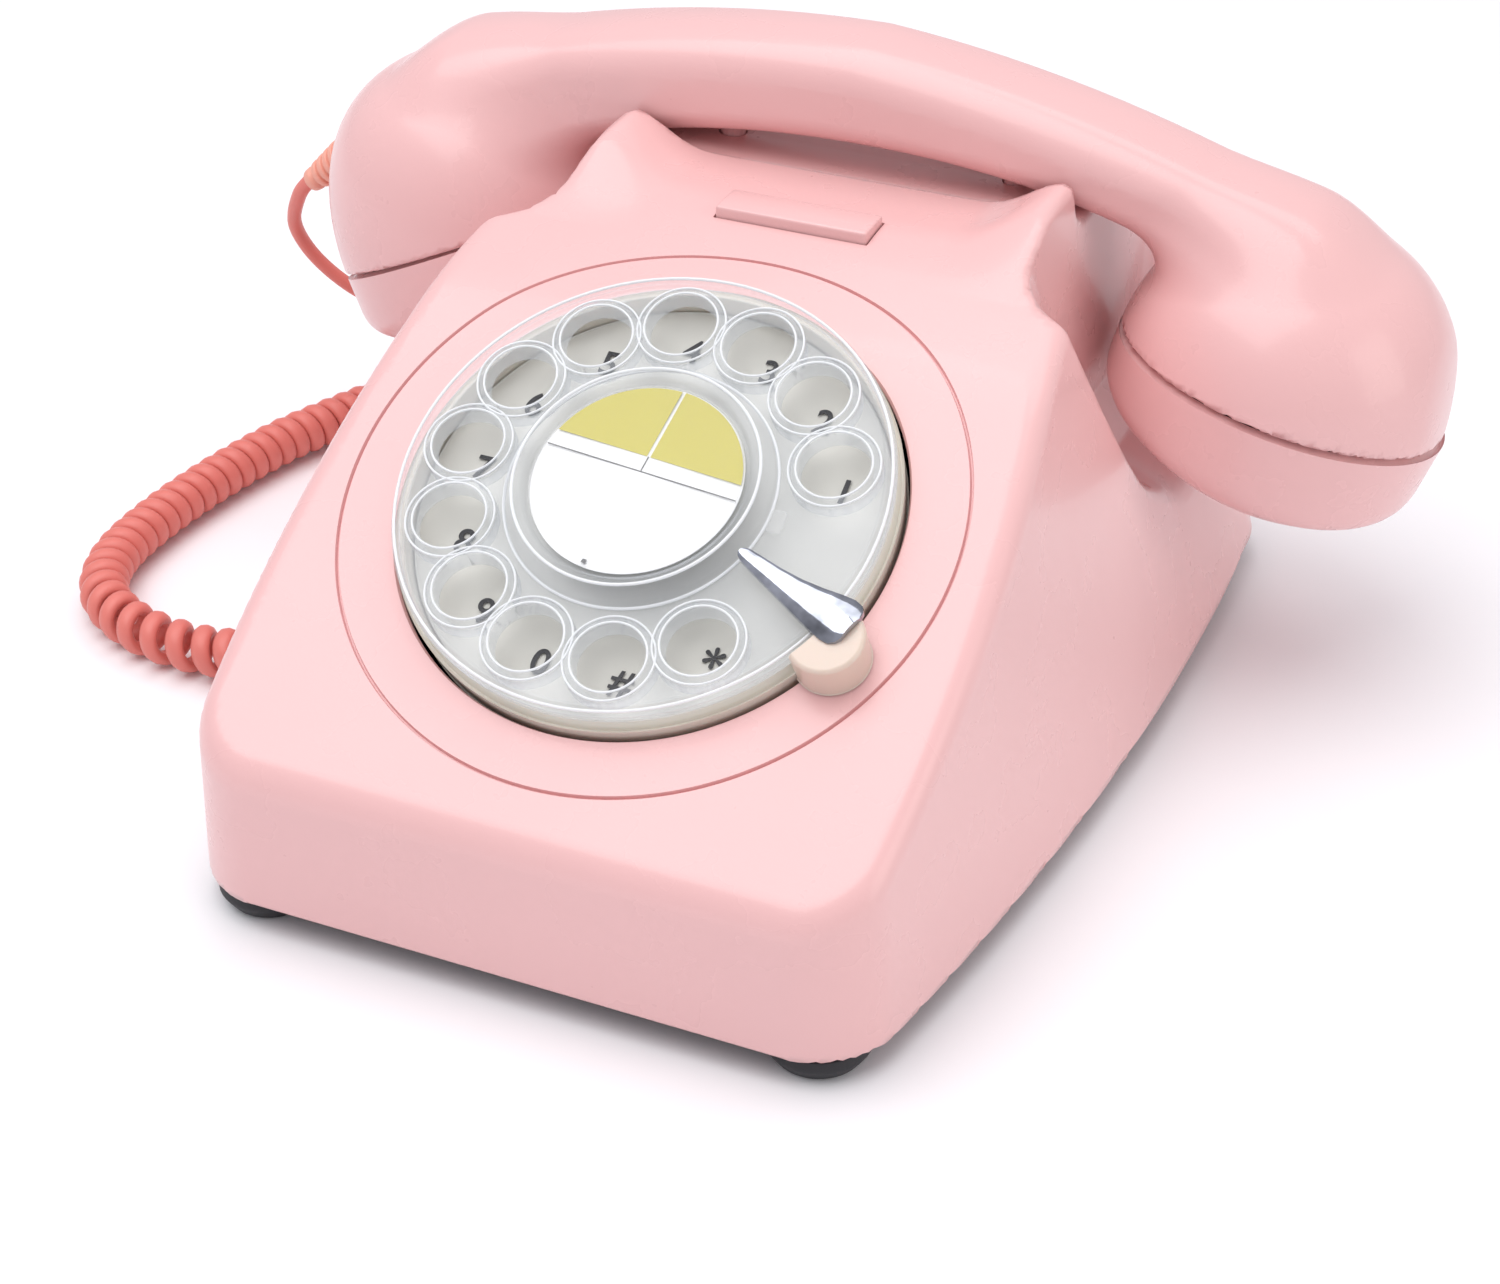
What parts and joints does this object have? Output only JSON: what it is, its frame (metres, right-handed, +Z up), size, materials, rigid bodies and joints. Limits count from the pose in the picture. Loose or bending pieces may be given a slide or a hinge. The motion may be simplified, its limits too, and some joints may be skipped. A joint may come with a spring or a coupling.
{
  "type": "rotary desk telephone",
  "caption": "Pale pink rotary desk telephone with a sloping face, a clear finger wheel, a handset on a horned cradle and a curly cord.",
  "frame": {"origin": "middle of the object's footprint, on the surface it stands on, cord left out", "axes": "+X to the right of someone facing the dial, along the handset; +Y to the rear; +Z up"},
  "size_m": [0.2641, 0.214, 0.118],
  "materials": {
    "case": "glossy moulded plastic, pale pink",
    "cord": "satin coral pink cord sleeve",
    "skirt": "cream moulded plastic",
    "number_plate": "matt light grey with black digits",
    "clear": "clear moulded acrylic",
    "card": "printed card, white with a yellow sector",
    "chrome": "polished chrome",
    "steel": "plain sheet steel",
    "brass": "bare brass",
    "nylon": "natural nylon",
    "rubber": "black rubber",
    "black_plastic": "black moulded plastic",
    "board": "green circuit board",
    "winding": "varnished copper winding"
  },
  "bodies": {
    "case": {"case_shell": "case", "curly_cord": "cord", "cord_tail": "cord", "dial_skirt": "skirt", "number_plate": "number_plate", "handset_plug": "clear", "finger_stop": "chrome", "dial_can": "steel", "dial_bracket": "steel", "governor_shaft": "steel", "return_spring": "steel", "ballast_plate": "steel", "bell_bracket": "steel", "gong_post_left": "steel", "gong_post_right": "steel", "clapper_pin": "steel", "base_screw_front": "steel", "base_screw_rear": "steel", "line_transformer": "steel", "gong_left": "brass", "gong_right": "brass", "governor_pinion": "nylon", "board_post_left": "nylon", "board_post_right": "nylon", "foot_front_left": "rubber", "foot_front_right": "rubber", "foot_rear_left": "rubber", "foot_rear_right": "rubber", "base_plate": "black_plastic", "hook_switch": "black_plastic", "pulse_switch": "black_plastic", "ringer_capacitor": "black_plastic", "handset_jack": "black_plastic", "line_jack": "black_plastic", "main_board": "board", "bell_coil": "winding"},
    "dial_rotor": {"finger_wheel": "clear", "label_card": "card", "label_cap": "clear", "label_catch": "clear", "dial_spindle": "steel", "main_gear": "brass", "encoder_disc": "black_plastic"},
    "handset": {"handset_body": "case", "ear_cap": "case", "mouth_cap": "case", "receiver_capsule": "black_plastic", "transmitter_capsule": "black_plastic", "handset_weight": "steel", "strain_relief": "cord", "handset_lead": "cord"},
    "hook": {"hook_bar": "nylon", "hook_plunger_left": "case", "hook_plunger_right": "case"},
    "key": {"cradle_key": "case"},
    "clapper": {"bell_clapper": "steel"}
  },
  "joints": [
    {"name": "dial_spin", "type": "hinge", "parent": "case", "child": "dial_rotor", "pos_m": [0, -0.04764, 0.06697], "axis": [0, -0.4833, 0.8755], "range_deg": [-331, 0], "stiffness_Nm_per_rad": 0.02, "springref_deg": 34.38},
    {"name": "handset_lift", "type": "slide", "parent": "case", "child": "handset", "axis": [0, 0, 1], "range_m": [0, 0.06]},
    {"name": "hook_rise", "type": "slide", "parent": "case", "child": "hook", "axis": [0, 0, 1], "range_m": [0, 0.004]},
    {"name": "key_press", "type": "slide", "parent": "case", "child": "key", "axis": [0, 0, -1], "range_m": [0, 0.0012], "stiffness_N_per_m": 400, "springref_m": -0.0006},
    {"name": "clapper_swing", "type": "hinge", "parent": "case", "child": "clapper", "pos_m": [0, 0.034, 0.03], "axis": [0, 0, 1], "range_deg": [-4, 4], "stiffness_Nm_per_rad": 0.01}
  ],
  "couplings": [
    {"joint": "hook_rise", "follows": "handset_lift", "ratio": 0.0666}
  ]
}
